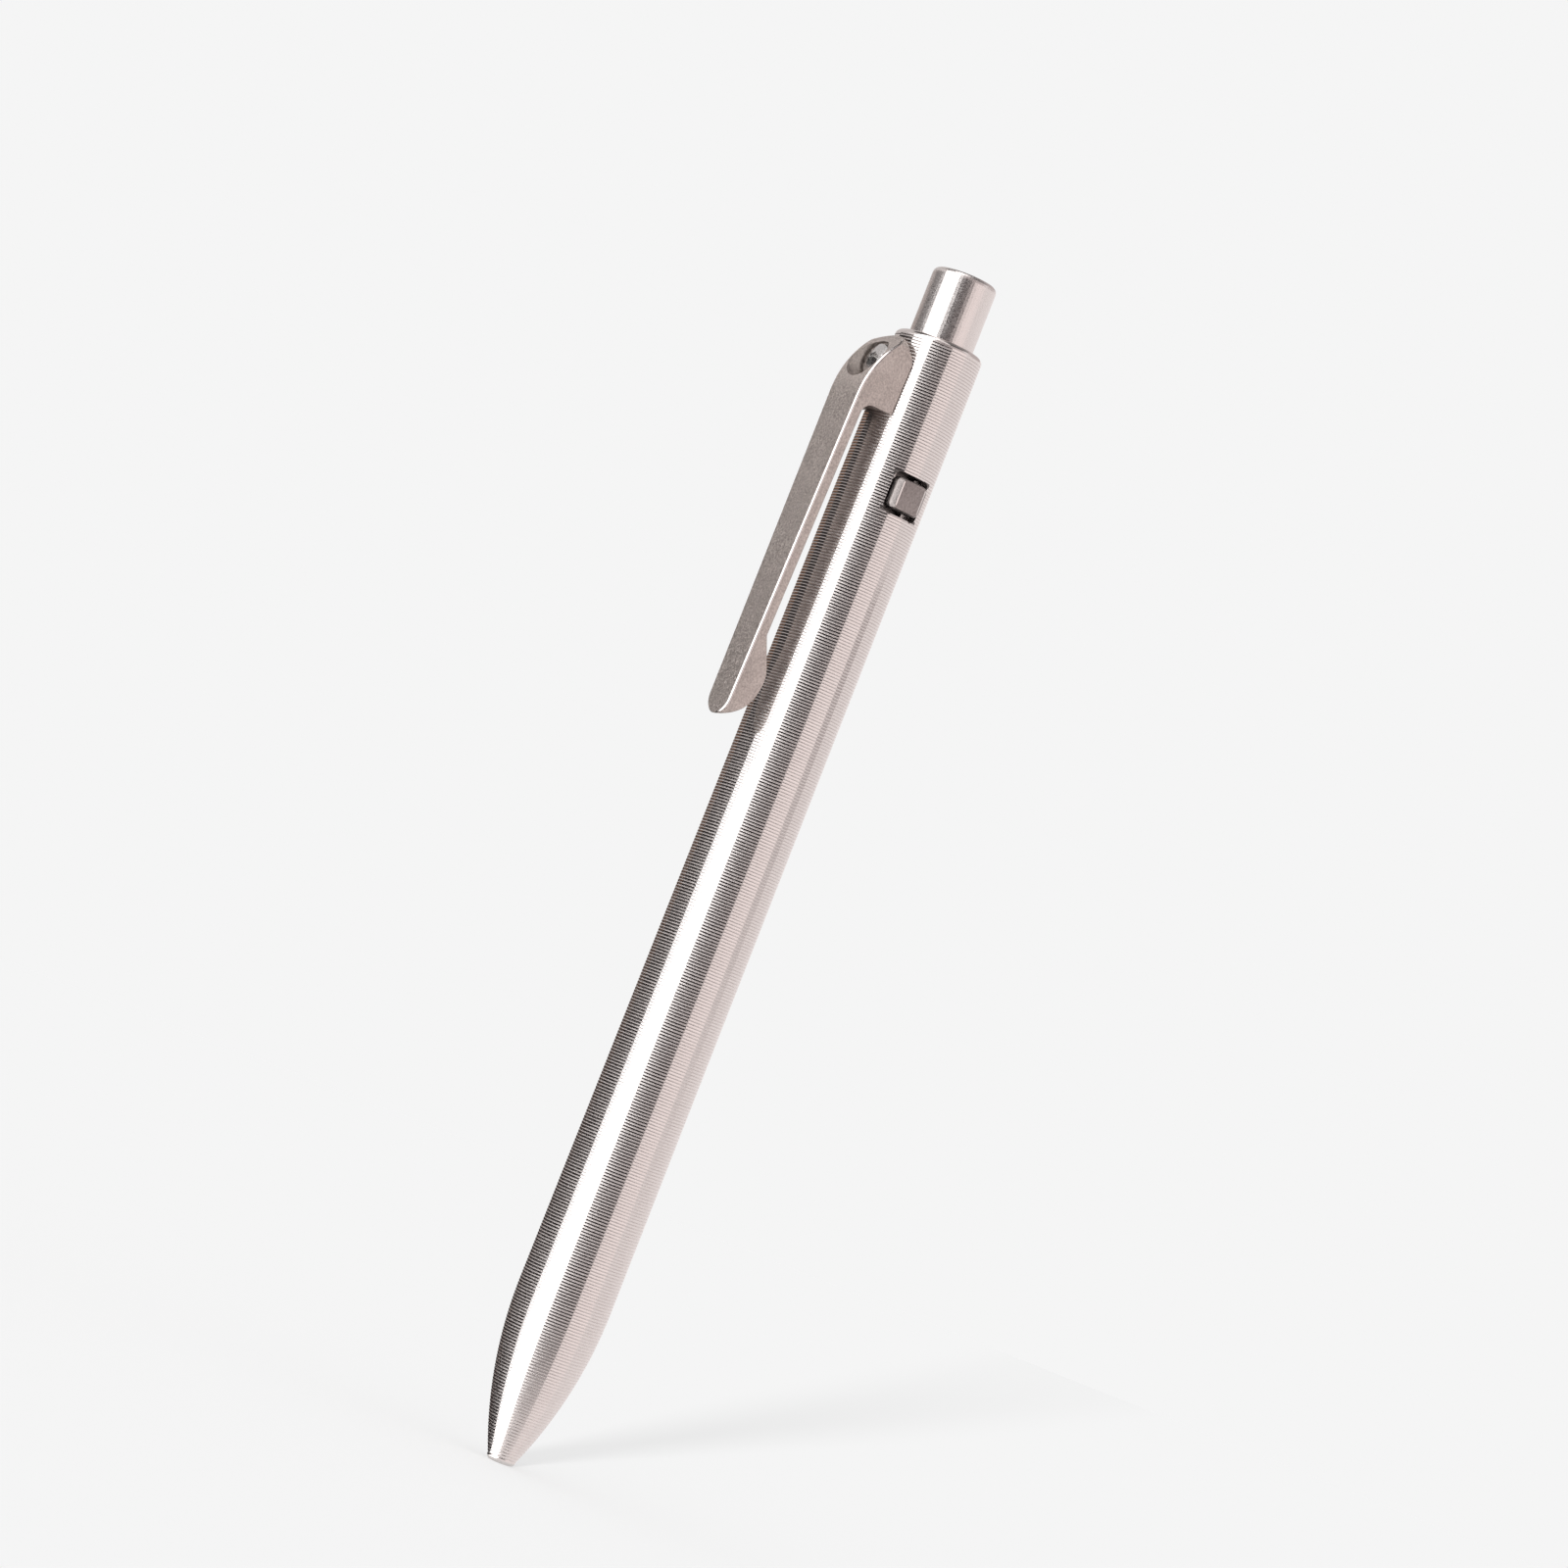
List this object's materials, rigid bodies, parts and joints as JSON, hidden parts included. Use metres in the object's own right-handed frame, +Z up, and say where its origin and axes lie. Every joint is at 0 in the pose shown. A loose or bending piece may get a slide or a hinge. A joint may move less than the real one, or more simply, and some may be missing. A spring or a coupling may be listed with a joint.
{
  "type": "side click pen",
  "caption": "Turned metal pen with a rear push plunger, a side release button, a screwed pocket clip and a gel refill; press the plunger to bring out the point",
  "frame": {"origin": "the middle of the footprint of the pen's box, on the ground close to the writing tip's end", "axes": "+Z runs up the pen from the writing tip to the plunger, the pocket clip points midway between +X and +Y, and the side button midway between -X and +Y"},
  "size_m": [0.0146, 0.0146, 0.145],
  "materials": {
    "grooved_titanium": "titanium, turned with fine grooves all round",
    "polished_titanium": "titanium, turned smooth with a satin polish",
    "blasted_titanium": "titanium, machined, bead blasted, toned brown grey",
    "spring_steel": "stainless steel, bright drawn or turned",
    "refill_plastic": "translucent polypropylene, semi matte",
    "nickel_silver": "nickel silver, turned",
    "carbide": "tungsten carbide, polished",
    "gel_ink": "black gel ink",
    "follower_grease": "clear amber grease"
  },
  "bodies": {
    "body": {"nose_section": "grooved_titanium", "rear_barrel": "grooved_titanium", "clip": "blasted_titanium", "clip_screw": "spring_steel", "refill_spring": "spring_steel", "button_spring": "spring_steel"},
    "plunger": {"plunger": "polished_titanium"},
    "refill": {"refill_tube": "refill_plastic", "refill_tip_holder": "refill_plastic", "refill_tip_cone": "nickel_silver", "refill_ball": "carbide", "ink_column": "gel_ink", "ink_follower": "follower_grease", "refill_end_plug": "refill_plastic"},
    "side_button": {"side_button": "blasted_titanium"}
  },
  "joints": [
    {"name": "plunger_slide", "type": "slide", "parent": "body", "child": "plunger", "axis": [0, 0, -1], "range_m": [0, 0.006], "stiffness_N_per_m": 300, "springref_m": -0.006},
    {"name": "refill_slide", "type": "slide", "parent": "body", "child": "refill", "axis": [0, 0, -1], "range_m": [0, 0.006], "deforming": ["refill_spring"]},
    {"name": "button_press", "type": "slide", "parent": "body", "child": "side_button", "axis": [0.7071, -0.7071, 0], "range_m": [0, 0.0008], "stiffness_N_per_m": 250, "springref_m": -0.003, "deforming": ["button_spring"]}
  ],
  "couplings": [
    {"joint": "refill_slide", "follows": "plunger_slide", "ratio": 1}
  ]
}
